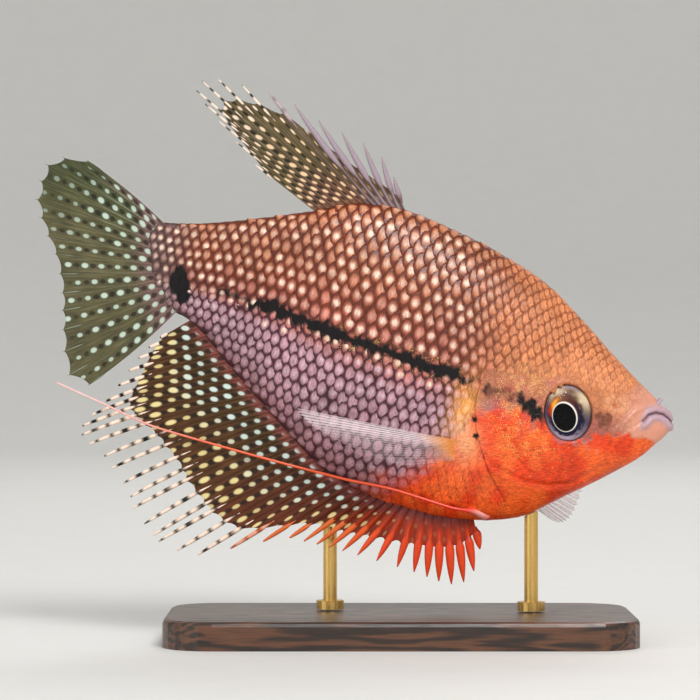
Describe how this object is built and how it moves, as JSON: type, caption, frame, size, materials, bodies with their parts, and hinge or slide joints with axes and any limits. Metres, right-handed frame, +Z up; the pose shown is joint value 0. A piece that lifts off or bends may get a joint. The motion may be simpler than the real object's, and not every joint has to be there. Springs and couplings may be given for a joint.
{
  "type": "pearl gourami model on a stand",
  "caption": "Life-size pearl gourami swimming, thread-like feelers trailing and fins spread, held on thin rods over a flat display base.",
  "frame": {"origin": "centre of the display base's underside", "axes": "+X towards the fish's snout, +Y to the fish's left, +Z up"},
  "size_m": [0.1154, 0.0528, 0.1009],
  "materials": {
    "head_skin": "moist skin, orange red below and copper brown above",
    "flank_skin": "moist scaled skin, brown and lilac with pale pearls",
    "eye": "clear gloss over a black pupil",
    "dorsal_web": "moist fin web, brown with pale spots",
    "anal_web": "moist fin web, rust red to olive brown with pale spots",
    "caudal_web": "moist fin web, olive grey with pale and dark spots",
    "pectoral_web": "thin pale fin web",
    "feeler": "moist thread, orange red to pinkish white",
    "dark_wood": "satin dark wood",
    "rod_brass": "satin brass"
  },
  "bodies": {
    "root": {"head": "head_skin", "lower_jaw": "head_skin", "trunk": "flank_skin", "tail": "flank_skin", "eye_left": "eye", "eye_right": "eye", "dorsal_fin": "dorsal_web", "anal_fin": "anal_web", "caudal_fin": "caudal_web", "pectoral_fin_left": "pectoral_web", "pectoral_fin_right": "pectoral_web", "pelvic_fin_left": "feeler", "pelvic_fin_right": "feeler", "stand_base": "dark_wood", "stand_rod_front": "rod_brass", "stand_rod_rear": "rod_brass"}
  },
  "joints": []
}
